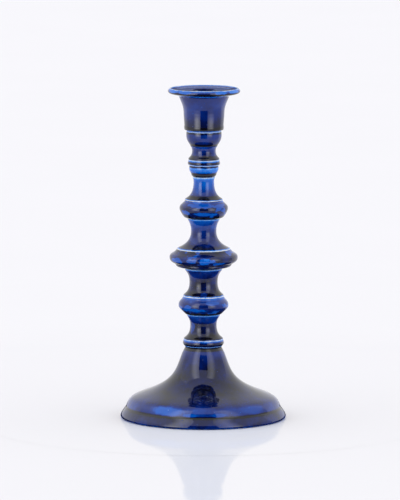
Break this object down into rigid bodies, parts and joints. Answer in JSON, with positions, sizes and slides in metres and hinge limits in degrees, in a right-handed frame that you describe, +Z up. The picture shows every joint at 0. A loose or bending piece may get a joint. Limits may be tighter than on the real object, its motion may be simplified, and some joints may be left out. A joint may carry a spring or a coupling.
{
  "type": "candlestick",
  "caption": "Tall turned candlestick in glossy cobalt-blue glaze, with stacked knops and spools on a broad domed foot and a flared cup that holds a taper candle.",
  "frame": {"origin": "on the floor, under the middle of the foot", "axes": "+Z up along the turning axis, from the foot to the candle cup; the socket nut's slot runs along X"},
  "size_m": [0.15, 0.15, 0.3],
  "materials": {
    "blue_glaze": "gloss",
    "steel": "satin",
    "rubber": "matte",
    "felt": "matte"
  },
  "bodies": {
    "root": {"foot": "blue_glaze", "felt_ring": "felt", "foot_ring": "blue_glaze", "foot_spool": "blue_glaze", "lower_knop": "blue_glaze", "lower_spool": "blue_glaze", "middle_disc": "blue_glaze", "middle_knop": "blue_glaze", "upper_spool": "blue_glaze", "upper_knop": "blue_glaze", "neck_spool": "blue_glaze", "lower_neck_ring": "blue_glaze", "upper_neck_ring": "blue_glaze", "throat": "blue_glaze", "cup_bulb": "blue_glaze", "candle_cup": "blue_glaze", "tie_rod": "steel", "foot_cushion": "rubber", "foot_washer": "steel", "spring_washer": "steel", "foot_nut": "steel", "cup_cushion": "rubber", "cup_nut": "steel"}
  },
  "joints": []
}
